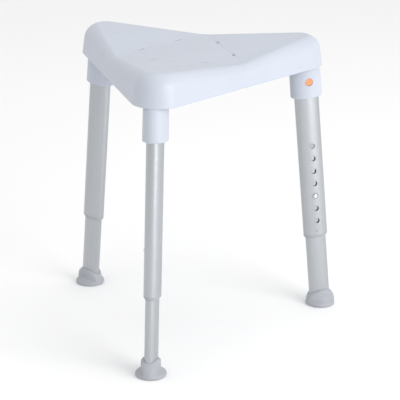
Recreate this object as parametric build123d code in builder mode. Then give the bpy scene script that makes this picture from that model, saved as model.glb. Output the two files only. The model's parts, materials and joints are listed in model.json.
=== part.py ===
"""Shower stool: a triangular moulded seat on three splayed, oval, telescopic legs.

Each leg is an aluminium tube that clicks into a socket under the seat with a
release button, and an inner leg that slides in it and locks in one of seven
holes with a snap button. Millimetres, +Z up, the stool standing on Z = 0.
"""

import os
from math import cos, radians, sin

from build123d import *

# Stance: legs by the way they point from the stool's central axis, in degrees
LEGS = {"front": -90, "right": 30, "left": 150}
LEG_RADIUS = 268.8  # central axis to the middle of each foot, on the floor
SPLAY = 5.2  # degrees by which each leg leans in towards the axis
AXIS_Y = LEG_RADIUS / 4  # this puts the origin under the middle of the outer box

# Seat: an upright-sided triangle with a level middle and three rising corners
RIM_Z = 483.0
RIM_APOTHEM = 152.4
RIM_CORNER = 48.3
SEAT_DRAFT = 7.5  # degrees
MIDDLE_Z = 521.7
FLAP_RISE = 6.2  # degrees
CREASE = 70.0  # central axis to each crease
EDGE_ROUND = 24.0
SEAT_WALL = 3.2
PAST_SEAT = 80.0  # more than the seat's depth, for blocks and cuts that pass it
RIB_LOW_Z = 503.0
RIB_THICK = 2.4
RIB_OFFSET = 40.0
SLOT_LENGTH = 15.0
SLOT_WIDTH = 5.0
SLOT_OUT = 73.0
SLOT_APART = 96.0  # the middles of the two slots beside each crease

# Places along a leg, measured up its axis from the floor
RING_LOW = 141.2
FLANGE_LOW = 142.9
TUBE_LOW = 147.4
SLEEVE_TOP = 168.0
PIP_AT = 156.0
FIRST_HOLE = 176.5
HOLE_PITCH = 25.0
HOLE_COUNT = 7
SNAP_HOLE = 2  # the hole, counted from the bottom, that the snap button is in
SOCKET_LOW = 422.0
SOCKET_JOIN = 490.0
RELEASE_AT = 453.5
PLUG_LOW = 437.0
TUBE_TOP = 498.0
PLUG_TOP = 500.0
STOP_AT = 500.2
CHAMBER_TOP = 526.0
INNER_LOW = 9.0
GUIDE_LOW = 322.0
INNER_TOP = 334.0
GUIDE_TOP = 336.0
SNAP_AT = FIRST_HOLE + SNAP_HOLE * HOLE_PITCH

# Oval sections: half widths outward from the stool and along its edge
SOCKET_OVAL = (29.5, 21.7)
SOCKET_FLARE = 0.7
CHAMBER_STEP = 3.0  # by which the space over the leg is smaller than the tube
TUBE_OVAL = (23.6, 15.0)
TUBE_WALL = 1.6
INNER_OVAL = (20.2, 11.7)
INNER_WALL = 2.0
CAP_LIP = 4.0  # by which the guide cap covers the end of the inner leg
RING_OVAL = (21.4, 12.9)
FLANGE_BEVEL = (1.6, 1.8)  # inward and upward
SLIP = 0.3  # gap between ovals that slide
SNUG = 0.05  # gap between ovals that are pushed home

# Buttons and springs, with depths measured from the leg's axis
HOLE_R = 5.3
PIP_R = 2.0
PIP_PROUD = 0.2
SNAP_R = 4.9
SNAP_TIP = 17.5
SNAP_ROUND = 2.4
SNAP_FLANGE = (6.4, 8.8, 1.2)  # radius, depth of its outer face, thickness
RELEASE_R = 6.9
RELEASE_TIP = 21.3
RELEASE_ROUND = 1.0
RELEASE_FLANGE = (8.4, 11.9, 1.6)
BUTTON_GAP = 0.3
COIL_R = 5.2
COIL_WIRE = 1.1
COIL_TURNS = 5.5
COIL_SEAT = -8.0
COIL_REST = 0.6  # from each seat to the middle of the wire
LEAF_THICK = 0.8
LEAF_WIDTH = 8.5
LEAF_BACK = -8.9
LEAF_KNEE = -3.0
LEAF_DROP = 34.0
LEAF_BEND = 2.0
LEAF_PAD = 7.0  # how far the leaf reaches above and below the button's middle
LEAF_TOP = 12.0

# Feet: a dome cut by two upright flank arcs, on a low skirt
FOOT_R = 28.0
DOME_LOW = 7.0  # height at which the dome starts
SOLE_ARC = ((FOOT_R - 2.5, 0), (FOOT_R - 0.6, 1.2), (FOOT_R, 4))  # half width, then height
FLANK_HALF = 17.0
FLANK_R = 42.0
FLANK_ROUND = 1.5
SKIRT_TOP = 13.5
GROOVE_RADII = (12.0, 20.0)
GROOVE_WIDTH = 2.0
GROOVE_DEPTH = 1.2


def grown(oval, by):
    """An oval's half widths, made larger by a gap or smaller by a wall."""
    return oval[0] + by, oval[1] + by


def leg_plane(azimuth, along):
    """Plane square to a leg: X points outward, Y along the seat's edge, Z up the leg."""
    outward = Vector(1, 0, 0).rotate(Axis.Z, azimuth)
    up_leg = outward * -sin(radians(SPLAY)) + Vector(0, 0, cos(radians(SPLAY)))
    across = outward * cos(radians(SPLAY)) + Vector(0, 0, sin(radians(SPLAY)))
    foot = Vector(0, AXIS_Y, 0) + outward * LEG_RADIUS
    return Plane(origin=foot + up_leg * along, x_dir=across, z_dir=up_leg)


def button_plane(azimuth, along):
    """Plane through a leg's axis: X points outward, Y up the leg, Z out of the buttons' side."""
    leg = leg_plane(azimuth, along)
    return Plane(origin=leg.origin, x_dir=leg.x_dir, z_dir=-leg.y_dir)


def radial_plane(azimuth, turn=0):
    """Upright plane through a foot's centre: Y is up, X outward, or turned from it about Z."""
    outward = Vector(1, 0, 0).rotate(Axis.Z, azimuth)
    along = outward.rotate(Axis.Z, turn)
    return Plane(
        origin=Vector(0, AXIS_Y, 0) + outward * LEG_RADIUS,
        x_dir=along,
        z_dir=along.cross(Vector(0, 0, 1)),
    )


def seat_plane(azimuth, out, height, rise=0):
    """Plane whose X axis points to a corner of the seat, level or rising towards it."""
    outward = Vector(1, 0, 0).rotate(Axis.Z, azimuth)
    return Plane(
        origin=Vector(0, AXIS_Y, height) + outward * out,
        x_dir=outward * cos(radians(rise)) + Vector(0, 0, sin(radians(rise))),
        z_dir=outward * -sin(radians(rise)) + Vector(0, 0, cos(radians(rise))),
    )


def seat_block(inset, top):
    """The seat's drafted triangle, cut off by a plane and rounded over there."""
    with BuildPart() as block:
        with BuildSketch(seat_plane(LEGS["front"], 0, RIM_Z)) as rim:
            RegularPolygon(2 * (RIM_APOTHEM - inset), 3)
            fillet(rim.vertices(), RIM_CORNER - inset)
        extrude(amount=PAST_SEAT, taper=SEAT_DRAFT)
        split(bisect_by=top, keep=Keep.BOTTOM)
        cut_face = block.faces().sort_by(Axis(top.origin, top.z_dir))[-1]
        fillet(cut_face.edges(), EDGE_ROUND - inset)
    return block.part


def seat_form(inset):
    """The seat as a closed form, its outside moved in by the inset all over."""
    height = MIDDLE_Z - inset
    with BuildPart() as form:
        add(seat_block(inset, seat_plane(0, 0, height)))
        with BuildSketch(seat_plane(LEGS["front"] + 180, 0, RIM_Z)):
            RegularPolygon(2 * CREASE, 3)
        extrude(amount=PAST_SEAT, mode=Mode.INTERSECT)
    for azimuth in LEGS.values():
        with BuildPart() as flap:
            add(seat_block(inset, seat_plane(azimuth, CREASE, height, FLAP_RISE)))
            with BuildSketch(seat_plane(azimuth, 0, RIM_Z)):
                side = 2 * CREASE * sin(radians(60))
                Polygon(
                    (CREASE, -side),
                    (2 * CREASE, -2 * side),
                    (4 * CREASE, -2 * side),
                    (4 * CREASE, 2 * side),
                    (2 * CREASE, 2 * side),
                    (CREASE, side),
                    align=None,
                )
            extrude(amount=PAST_SEAT, mode=Mode.INTERSECT)
        with form:
            add(flap.part)
    return form.part


def outermost_edge(button, azimuth):
    """The edge of a button's face, which is the furthest out on the buttons' side."""
    side = button_plane(azimuth, 0)
    return button.edges().sort_by(Axis(side.origin, side.z_dir))[-1]


def flank_edges(foot, azimuth):
    """The edges where a foot's two flanks cut its dome."""
    middle = radial_plane(azimuth)
    on_dome = foot.edges().filter_by(lambda edge: edge.center().Z > DOME_LOW + 1)
    return on_dome.filter_by(lambda edge: abs(middle.to_local_coords(edge @ 0.5).Z) > 5)


def save(piece, name):
    """Label a finished piece and write it as its own file."""
    piece.part.label = name
    export_step(piece.part, f"parts/{name}.step")


os.makedirs("parts", exist_ok=True)

# The hollow under the seat, left solid where ribs and leg sockets stand
seat_outside = seat_form(0)
seat_inside = seat_form(SEAT_WALL)
with BuildPart() as hollow:
    add(seat_inside)
    for azimuth in LEGS.values():
        for out in (-RIB_OFFSET, RIB_OFFSET):
            with BuildSketch(seat_plane(azimuth, out, RIB_LOW_Z)):
                Rectangle(RIB_THICK, 3 * RIM_APOTHEM)
            extrude(amount=PAST_SEAT, mode=Mode.SUBTRACT)
        with BuildSketch(leg_plane(azimuth, SOCKET_LOW)):
            Ellipse(*SOCKET_OVAL)
        extrude(amount=2 * PAST_SEAT, mode=Mode.SUBTRACT)

with BuildPart() as seat:
    add(seat_outside)
    add(hollow.part, mode=Mode.SUBTRACT)
    for azimuth in LEGS.values():
        with BuildSketch(leg_plane(azimuth, SOCKET_LOW)):
            Ellipse(*grown(SOCKET_OVAL, SOCKET_FLARE))
        with BuildSketch(leg_plane(azimuth, SOCKET_JOIN)):
            Ellipse(*SOCKET_OVAL)
        loft()
        with BuildSketch(leg_plane(azimuth, SOCKET_LOW)):
            Ellipse(*grown(TUBE_OVAL, SLIP))
        extrude(amount=STOP_AT - SOCKET_LOW, mode=Mode.SUBTRACT)
        with BuildSketch(leg_plane(azimuth, STOP_AT)):
            Ellipse(*grown(TUBE_OVAL, -CHAMBER_STEP))
        extrude(amount=CHAMBER_TOP - STOP_AT, mode=Mode.SUBTRACT)
        with BuildSketch(button_plane(azimuth, RELEASE_AT)):
            Circle(RELEASE_R + BUTTON_GAP)
        extrude(amount=2 * SOCKET_OVAL[1], mode=Mode.SUBTRACT)
        with BuildSketch(seat_plane(azimuth, SLOT_OUT, RIM_Z)):
            with GridLocations(0, SLOT_APART, 1, 2):
                SlotOverall(SLOT_LENGTH, SLOT_WIDTH, rotation=90)
        extrude(amount=PAST_SEAT, mode=Mode.SUBTRACT)
save(seat, "seat")

for side, azimuth in LEGS.items():
    with BuildPart() as leg_tube:
        with BuildSketch(leg_plane(azimuth, TUBE_LOW)):
            Ellipse(*TUBE_OVAL)
            Ellipse(*grown(TUBE_OVAL, -TUBE_WALL), mode=Mode.SUBTRACT)
        extrude(amount=TUBE_TOP - TUBE_LOW)
        with BuildSketch(button_plane(azimuth, 0)):
            with Locations(*[(0, FIRST_HOLE + HOLE_PITCH * k) for k in range(HOLE_COUNT)]):
                Circle(HOLE_R)
            with Locations((0, PIP_AT)):
                Circle(PIP_R)
            with Locations((0, RELEASE_AT)):
                Circle(RELEASE_R + BUTTON_GAP)
        extrude(amount=TUBE_OVAL[1] + 1, mode=Mode.SUBTRACT)
    save(leg_tube, f"leg_tube_{side}")

    with BuildPart() as top_plug:
        with BuildSketch(leg_plane(azimuth, PLUG_LOW)):
            Ellipse(*grown(TUBE_OVAL, -TUBE_WALL - SNUG))
        extrude(amount=TUBE_TOP - PLUG_LOW)
        with BuildSketch(leg_plane(azimuth, TUBE_TOP)):
            Ellipse(*TUBE_OVAL)
        extrude(amount=PLUG_TOP - TUBE_TOP)
        with BuildSketch(button_plane(azimuth, RELEASE_AT).offset(COIL_SEAT)):
            Circle(RELEASE_FLANGE[0] + BUTTON_GAP)
        extrude(amount=TUBE_OVAL[1] - COIL_SEAT, mode=Mode.SUBTRACT)
    save(top_plug, f"top_plug_{side}")

    with BuildPart() as release_button:
        radius, face, thick = RELEASE_FLANGE
        with BuildSketch(button_plane(azimuth, RELEASE_AT).offset(face - thick)):
            Circle(radius)
        extrude(amount=thick)
        with BuildSketch(button_plane(azimuth, RELEASE_AT).offset(face)):
            Circle(RELEASE_R)
        extrude(amount=RELEASE_TIP - face)
        fillet(outermost_edge(release_button, azimuth), RELEASE_ROUND)
    save(release_button, f"release_button_{side}")

    with BuildPart() as release_spring:
        coil_length = RELEASE_FLANGE[1] - RELEASE_FLANGE[2] - COIL_SEAT - 2 * COIL_REST
        coil_plane = button_plane(azimuth, RELEASE_AT).offset(COIL_SEAT + COIL_REST)
        coil = coil_plane.location * Helix(coil_length / COIL_TURNS, coil_length, COIL_R)
        with BuildSketch(Plane(origin=coil @ 0, z_dir=coil % 0)):
            Circle(COIL_WIRE / 2)
        sweep(path=coil, is_frenet=True)
    save(release_spring, f"release_spring_{side}")

    with BuildPart() as end_bush:
        bevel_in, bevel_up = FLANGE_BEVEL
        with BuildSketch(leg_plane(azimuth, RING_LOW)):
            Ellipse(*RING_OVAL)
        extrude(amount=FLANGE_LOW - RING_LOW)
        with BuildSketch(leg_plane(azimuth, FLANGE_LOW)):
            Ellipse(*grown(TUBE_OVAL, -bevel_in))
        with BuildSketch(leg_plane(azimuth, FLANGE_LOW + bevel_up)):
            Ellipse(*TUBE_OVAL)
        loft()
        with BuildSketch(leg_plane(azimuth, FLANGE_LOW + bevel_up)):
            Ellipse(*TUBE_OVAL)
        extrude(amount=TUBE_LOW - FLANGE_LOW - bevel_up)
        with BuildSketch(leg_plane(azimuth, TUBE_LOW)):
            Ellipse(*grown(TUBE_OVAL, -TUBE_WALL - SNUG))
        extrude(amount=SLEEVE_TOP - TUBE_LOW)
        with BuildSketch(button_plane(azimuth, PIP_AT)):
            Circle(PIP_R - SNUG)
        extrude(amount=TUBE_OVAL[1] + PIP_PROUD)
        with BuildSketch(leg_plane(azimuth, RING_LOW)):
            Ellipse(*grown(INNER_OVAL, SLIP))
        extrude(amount=SLEEVE_TOP - RING_LOW, mode=Mode.SUBTRACT)
    save(end_bush, f"end_bush_{side}")

    with BuildPart() as inner_leg:
        with BuildSketch(leg_plane(azimuth, INNER_LOW)):
            Ellipse(*INNER_OVAL)
            Ellipse(*grown(INNER_OVAL, -INNER_WALL), mode=Mode.SUBTRACT)
        extrude(amount=INNER_TOP - INNER_LOW)
        with BuildSketch(button_plane(azimuth, SNAP_AT)):
            Circle(SNAP_R + BUTTON_GAP)
        extrude(amount=TUBE_OVAL[1], mode=Mode.SUBTRACT)
    save(inner_leg, f"inner_leg_{side}")

    with BuildPart() as guide_cap:
        with BuildSketch(leg_plane(azimuth, GUIDE_LOW)):
            Ellipse(*grown(TUBE_OVAL, -TUBE_WALL - SLIP))
        extrude(amount=GUIDE_TOP - GUIDE_LOW)
        with BuildSketch(leg_plane(azimuth, GUIDE_LOW)):
            Ellipse(*grown(INNER_OVAL, SNUG))
        extrude(amount=INNER_TOP - GUIDE_LOW, mode=Mode.SUBTRACT)
        with BuildSketch(leg_plane(azimuth, INNER_TOP)):
            Ellipse(*grown(INNER_OVAL, -CAP_LIP))
        extrude(amount=GUIDE_TOP - INNER_TOP, mode=Mode.SUBTRACT)
    save(guide_cap, f"guide_cap_{side}")

    with BuildPart() as snap_button:
        radius, face, thick = SNAP_FLANGE
        with BuildSketch(button_plane(azimuth, SNAP_AT).offset(face - thick)):
            Circle(radius)
        extrude(amount=thick)
        with BuildSketch(button_plane(azimuth, SNAP_AT).offset(face)):
            Circle(SNAP_R)
        extrude(amount=SNAP_TIP - face)
        fillet(outermost_edge(snap_button, azimuth), SNAP_ROUND)
    save(snap_button, f"snap_button_{side}")

    with BuildPart() as snap_spring:
        leaf_plane = leg_plane(azimuth, SNAP_AT)
        leaf_front = SNAP_FLANGE[1] - SNAP_FLANGE[2]
        with BuildSketch(Plane(leaf_plane.origin, -leaf_plane.y_dir, leaf_plane.x_dir)):
            with BuildLine():
                FilletPolyline(
                    (leaf_front - LEAF_THICK / 2, LEAF_PAD),
                    (leaf_front - LEAF_THICK / 2, -LEAF_PAD),
                    (LEAF_KNEE, -LEAF_DROP),
                    (LEAF_BACK + LEAF_THICK / 2, -LEAF_DROP + LEAF_BEND),
                    (LEAF_BACK + LEAF_THICK / 2, LEAF_TOP),
                    radius=LEAF_BEND,
                )
                offset(amount=LEAF_THICK / 2)
            make_face()
        extrude(amount=LEAF_WIDTH / 2, both=True)
    save(snap_spring, f"snap_spring_{side}")

    with BuildPart() as foot:
        dome_top = DOME_LOW + FOOT_R
        foot_axis = Axis(radial_plane(azimuth).origin, (0, 0, 1))
        with BuildSketch(seat_plane(azimuth, LEG_RADIUS, 0)):
            with Locations((0, FLANK_R - FLANK_HALF)):
                Circle(FLANK_R)
            with Locations((0, FLANK_HALF - FLANK_R)):
                Circle(FLANK_R, mode=Mode.INTERSECT)
        extrude(amount=dome_top)
        with BuildSketch(radial_plane(azimuth)):
            with BuildLine():
                Polyline((0, dome_top), (0, 0), SOLE_ARC[0])
                ThreePointArc(*SOLE_ARC)
                Line(SOLE_ARC[-1], (FOOT_R, DOME_LOW))
                RadiusArc((FOOT_R, DOME_LOW), (0, dome_top), -FOOT_R)
            make_face()
        revolve(axis=foot_axis, mode=Mode.INTERSECT)
        fillet(flank_edges(foot, azimuth), FLANK_ROUND)
        with BuildSketch(radial_plane(azimuth)):
            with BuildLine():
                Polyline((0, SKIRT_TOP), (0, 0), SOLE_ARC[0])
                ThreePointArc(*SOLE_ARC)
                Polyline(SOLE_ARC[-1], (FLANK_HALF, SKIRT_TOP), (0, SKIRT_TOP))
            make_face()
        revolve(axis=foot_axis)
        with BuildSketch(leg_plane(azimuth, INNER_LOW)):
            Ellipse(*grown(INNER_OVAL, SNUG))
        extrude(amount=dome_top, mode=Mode.SUBTRACT)
        for radius in GROOVE_RADII:
            with BuildSketch(seat_plane(azimuth, LEG_RADIUS, 0)):
                Circle(radius + GROOVE_WIDTH / 2)
                Circle(radius - GROOVE_WIDTH / 2, mode=Mode.SUBTRACT)
            extrude(amount=GROOVE_DEPTH, mode=Mode.SUBTRACT)
    save(foot, f"foot_{side}")
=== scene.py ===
"""Shower stool: a triangular moulded seat on three splayed, oval, telescopic legs.

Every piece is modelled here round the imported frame, in metres. The legs are alike, so their pieces
are made in one leg's own axes and placed three times. Only the feet are made for each leg.
"""

import json
from math import acos, atan2, ceil, cos, degrees, exp, hypot, pi, radians, sin, sqrt, tan

import bmesh
import bpy
from bpy.props import FloatProperty, FloatVectorProperty, IntProperty, PointerProperty
from mathutils import Matrix, Vector
from mathutils.geometry import delaunay_2d_cdt


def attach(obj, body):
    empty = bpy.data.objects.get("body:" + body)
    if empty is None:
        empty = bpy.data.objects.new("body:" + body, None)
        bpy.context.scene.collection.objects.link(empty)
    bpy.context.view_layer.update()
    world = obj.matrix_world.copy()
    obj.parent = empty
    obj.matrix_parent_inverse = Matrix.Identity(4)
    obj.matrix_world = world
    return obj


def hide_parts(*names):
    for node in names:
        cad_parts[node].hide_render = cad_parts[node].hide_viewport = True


bl_info = {
    "name": "Shower Stool",
    "version": (1, 0, 0),
    "blender": (4, 5, 0),
    "location": "View3D > Sidebar > Shower Stool",
    "description": "Models a three-legged shower stool with telescopic oval legs",
    "category": "Add Mesh",
}

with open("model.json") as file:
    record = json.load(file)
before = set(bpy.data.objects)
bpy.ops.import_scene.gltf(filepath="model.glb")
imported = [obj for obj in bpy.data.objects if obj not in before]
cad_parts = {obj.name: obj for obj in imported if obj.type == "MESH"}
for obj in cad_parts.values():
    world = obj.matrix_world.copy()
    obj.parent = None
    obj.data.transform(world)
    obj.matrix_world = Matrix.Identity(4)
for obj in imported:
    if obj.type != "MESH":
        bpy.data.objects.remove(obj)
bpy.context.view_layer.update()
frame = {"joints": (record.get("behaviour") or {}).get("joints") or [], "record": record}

SIDES = ("front", "right", "left")


# Places taken from the frame


def mount_place(name):
    """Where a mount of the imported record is."""
    return Vector(next(m for m in frame["record"]["mounts"] if m["name"] == name)["pos_m"])


def joint_axis(name):
    """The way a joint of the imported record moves."""
    return Vector(next(j for j in frame["joints"] if j["name"] == name)["axis"]).normalized()


STOOL_AXIS = mount_place("seat_middle").xy


def outward(side):
    """Unit vector, level, from the stool's middle towards a leg."""
    return (mount_place(f"foot_rest_{side}").xy - STOOL_AXIS).normalized()


def leg_place(side):
    """A leg's own axes: X outward, Y along the seat's edge away from the buttons, Z up the leg."""
    up_leg = joint_axis(f"height_{side}")
    edgeways = joint_axis(f"release_press_{side}")
    across = edgeways.cross(up_leg)
    place = Matrix((across, edgeways, up_leg)).transposed().to_4x4()
    place.translation = mount_place(f"foot_rest_{side}")
    return place


def foot_place(side):
    """A foot's own axes: X outward, Z straight up."""
    way = outward(side)
    place = Matrix.Rotation(atan2(way.y, way.x), 4, "Z")
    place.translation = mount_place(f"foot_rest_{side}")
    return place


def splay():
    """The angle by which the legs lean in."""
    return acos(joint_axis("height_front").z)


def length(name, description, default):
    """A property in metres."""
    return FloatProperty(name=name, description=description, default=default, unit="LENGTH", precision=5)


def angle(name, description, default):
    """A property in degrees, held in radians."""
    return FloatProperty(
        name=name, description=description, default=radians(default), subtype="ANGLE", unit="ROTATION"
    )


def colour(name, description, default):
    """A colour property."""
    return FloatVectorProperty(
        name=name, description=description, default=default, subtype="COLOR", min=0, max=1
    )


def oval(name, description, outward_half, edge_half):
    """The two half widths of an oval section, outward from the stool and along its edge."""
    return FloatVectorProperty(
        name=name,
        description=description,
        default=(outward_half, edge_half),
        size=2,
        unit="LENGTH",
        precision=5,
    )


class StoolSeatSizes(bpy.types.PropertyGroup):
    """Sizes of the seat."""

    rim_height: length("Rim Height", "Floor to the lower edge of the seat's side", 0.483)
    rim_apothem: length("Rim Apothem", "Middle of the seat to each side at the rim", 0.1524)
    rim_corner: length("Rim Corner", "Corner radius at the rim", 0.0483)
    draft: angle("Draft", "Lean of the sides", 7.5)
    middle_height: length("Middle Height", "Floor to the level middle of the seat", 0.5213)
    flap_rise: angle("Flap Rise", "Slope of the three corners", 6.2)
    crease: length("Crease", "Middle of the seat to each crease", 0.0705)
    crease_soft: length("Crease Softness", "Width over which a crease bends", 0.0012)
    groove_depth: length("Groove Depth", "Depth of the fine line along each crease", 0.0004)
    groove_width: length("Groove Width", "Half width of the fine line along each crease", 0.0006)
    round_side: length("Side Rounding", "Radius of the top edge halfway along a side", 0.0206)
    round_corner: length("Corner Rounding", "Radius of the top edge at a corner", 0.0289)
    brow_angle: angle("Brow Angle", "Bend of the fine edge where the rounding meets the top", 15)
    brow_round: length("Brow Rounding", "Radius of that fine edge", 0.004)
    least_round: length("Least Rounding", "Smallest radius of the top edge", 0.006)
    wall: length("Wall", "Thickness of the moulding", 0.0032)
    lip_round: length("Lip Rounding", "Radius of the rim's edges", 0.0009)
    rib_low: length("Rib Height", "Floor to the lower edge of the ribs", 0.503)
    rib_thick: length("Rib Thickness", "Thickness of the ribs", 0.0024)
    rib_tall: length("Rib Height Before Trimming", "Height of the blocks that the ribs are cut from", 0.04)
    rib_long: length("Rib Length Before Trimming", "Length of the blocks that the ribs are cut from", 0.5)
    rib_offset: length("Rib Offset", "Middle of the seat to each rib", 0.040)
    slot_long: length("Slot Length", "Length of a drain slot", 0.015)
    slot_wide: length("Slot Width", "Width of a drain slot", 0.005)
    slot_out: length("Slot Place", "Middle of the seat to the line of slots beside a crease", 0.0715)
    slot_apart: length("Slot Spacing", "Distance between the two slots beside a crease", 0.096)
    slot_round: length("Slot Rounding", "Radius of a slot's upper edge", 0.0012)


class StoolSocketSizes(bpy.types.PropertyGroup):
    """Sizes of the leg sockets, along the leg from the floor."""

    section: oval("Socket Section", "Half widths of the socket", 0.0295, 0.0217)
    flare: length("Flare", "Extra half width at the lower end", 0.0007)
    low: length("Lower End", "Floor to the socket's lower end", 0.422)
    stop: length("Stop", "Floor to the shoulder that the leg's plug meets", 0.5002)
    top: length("Top", "Floor to the top of the space over the leg", 0.526)
    lip_round: length("Lip Rounding", "Radius of the lower outer edge", 0.0022)
    bore: oval("Bore Section", "Half widths of the bore", 0.0239, 0.0153)
    chamber: oval("Chamber Section", "Half widths of the space over the leg", 0.0206, 0.012)


class StoolLegSizes(bpy.types.PropertyGroup):
    """Sizes of the tubes and bushes, along the leg from the floor."""

    tube: oval("Tube Section", "Outside half widths of the outer tube", 0.0236, 0.015)
    tube_wall: length("Tube Wall", "Wall of the outer tube", 0.0016)
    tube_low: length("Tube Lower End", "Floor to the outer tube's lower end", 0.1474)
    tube_top: length("Tube Upper End", "Floor to the outer tube's upper end", 0.498)
    inner: oval("Inner Section", "Outside half widths of the inner leg", 0.0202, 0.0117)
    inner_wall: length("Inner Wall", "Wall of the inner leg", 0.002)
    inner_low: length("Inner Lower End", "Floor to the inner leg's lower end", 0.009)
    inner_top: length("Inner Upper End", "Floor to the inner leg's upper end", 0.334)
    cut_round: length("Cut Edge", "Rounding of sawn and drilled edges", 0.0004)
    first_hole: length("First Hole", "Floor to the lowest height hole", 0.1765)
    hole_pitch: length("Hole Pitch", "Distance between height holes", 0.025)
    hole_count: IntProperty(name="Holes", description="Number of height holes", default=7, min=1)
    hole_radius: length("Hole Radius", "Radius of a height hole", 0.0053)
    plug_low: length("Plug Low", "Floor to the top plug's lower end", 0.437)
    plug_top: length("Plug Top", "Floor to the top plug's upper end", 0.500)
    guide_low: length("Guide Low", "Floor to the guide cap's lower end", 0.322)
    guide_top: length("Guide Top", "Floor to the guide cap's upper end", 0.336)
    guide_lip: length("Guide Lip", "How far the guide cap covers the inner leg's end", 0.004)
    slip: length("Slip", "Gap between ovals that slide", 0.0003)
    snug: length("Snug", "Gap between ovals that are pushed home", 0.00005)
    pip_at: length("Pip Place", "Floor to the pip that holds the bush", 0.156)
    pip_radius: length("Pip Radius", "Radius of the pip", 0.002)
    pip_proud: length("Pip Proud", "How far the pip stands out of the tube", 0.0002)
    ring_low: length("Ring Low", "Floor to the bush's lower ring", 0.1412)
    ring: oval("Ring Section", "Half widths of the bush's lower ring", 0.0214, 0.0129)
    flange_low: length("Flange Low", "Floor to the bush's flange", 0.1429)
    sleeve_top: length("Sleeve Top", "Floor to the top of the bush inside the tube", 0.168)


class StoolButtonSizes(bpy.types.PropertyGroup):
    """Sizes of the two kinds of button, measured from the leg's axis."""

    release_at: length("Release Place", "Floor to the release button, along the leg", 0.4535)
    release_radius: length("Release Radius", "Radius of the release button", 0.0069)
    release_tip: length("Release Tip", "Leg's axis to the release button's face", 0.0213)
    release_flange: length("Release Flange", "Radius of the release button's flange", 0.0084)
    release_seat: length("Release Seat", "Leg's axis to the outside of that flange", 0.0119)
    release_thick: length("Release Flange Thickness", "Thickness of that flange", 0.0016)
    snap_at: length("Snap Place", "Floor to the snap button, along the leg", 0.2265)
    snap_radius: length("Snap Radius", "Radius of the snap button", 0.0049)
    snap_tip: length("Snap Tip", "Leg's axis to the top of the snap button", 0.0175)
    snap_flange: length("Snap Flange", "Radius of the snap button's flange", 0.0064)
    snap_seat: length("Snap Seat", "Leg's axis to the outside of that flange", 0.0088)
    snap_thick: length("Snap Flange Thickness", "Thickness of that flange", 0.0012)
    clearance: length("Clearance", "Gap round a button in its hole", 0.0003)
    coil_radius: length("Coil Radius", "Leg button spring, axis to the middle of the wire", 0.0052)
    coil_wire: length("Coil Wire", "Thickness of the spring wire", 0.0011)
    coil_turns: FloatProperty(
        name="Coil Turns", description="Turns of the leg button's spring", default=5.5
    )
    coil_rest: length("Coil Rest", "Each end of the spring's path to what it rests on", 0.0006)
    coil_seat: length("Coil Seat", "Leg's axis to the floor of the spring's pocket", -0.008)
    leaf_thick: length("Leaf Thickness", "Thickness of the leaf spring", 0.0008)
    leaf_width: length("Leaf Width", "Width of the leaf spring", 0.0085)
    leaf_front: length("Leaf Front", "Leg's axis to the front of the leaf", 0.0076)
    leaf_knee: length("Leaf Knee", "Leg's axis to the middle of the leaf at its fold", -0.003)
    leaf_back: length("Leaf Back", "Leg's axis to the back of the leaf", -0.0089)
    leaf_rise: length("Leaf Rise", "Snap button to the leaf's fold, up the leg", 0.034)
    leaf_bend: length("Leaf Bend", "Radius of the leaf's bends", 0.002)
    leaf_pad: length("Leaf Pad", "Snap button to the leaf's end in front", 0.007)
    leaf_tail: length("Leaf Tail", "Snap button to the leaf's end behind", 0.012)


class StoolFootSizes(bpy.types.PropertyGroup):
    """Sizes of the feet."""

    radius: length("Radius", "Radius of the foot and of its dome", 0.028)
    dome_low: length("Dome Middle", "Height of the middle of the dome", 0.007)
    flank: length("Flank", "Distance of each flank from the middle of the foot", 0.017)
    flank_arc: length("Flank Arc", "Radius of each flank, seen from above", 0.042)
    skirt_low: length("Skirt Edge", "Height of the skirt's edge", 0.004)
    skirt_top: length("Skirt Top", "Height at which the skirt meets the flanks", 0.0135)
    ridge_round: length("Ridge Rounding", "Softness of the ridges beside the flanks", 0.0025)
    valley_round: length("Valley Rounding", "Softness of the foot of the flanks", 0.0012)
    lip: length("Lip", "Width of the rounded lip of the bore", 0.0005)
    bore: oval("Bore", "Half widths of the bore for the leg", 0.02025, 0.01175)
    bore_low: length("Bore Floor", "Height of the bore's floor", 0.009)
    grooves: FloatVectorProperty(
        name="Grooves",
        description="Radii of the grooves under the sole",
        default=(0.012, 0.020),
        size=2,
        unit="LENGTH",
    )
    sole_round: length("Sole Rounding", "Rounding of the sole's edge", 0.0025)
    groove_width: length("Groove Width", "Width of a groove", 0.002)
    groove_depth: length("Groove Depth", "Depth of a groove", 0.0012)


class StoolFinishes(bpy.types.PropertyGroup):
    """Colours of the finishes."""

    seat: colour("Seat Plastic", "Bluish white moulded plastic", (0.480, 0.515, 0.583))
    aluminium: colour("Aluminium", "Satin anodised tube", (0.460, 0.479, 0.502))
    leg_plastic: colour("Leg Plastic", "Bushes, plugs and guide caps", (0.353, 0.369, 0.398))
    rubber: colour("Foot Rubber", "Light grey elastomer", (0.360, 0.375, 0.405))
    orange: colour("Orange Plastic", "Release buttons", (0.84, 0.30, 0.11))
    steel: colour("Steel", "Springs and snap buttons", (0.72, 0.73, 0.75))


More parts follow.
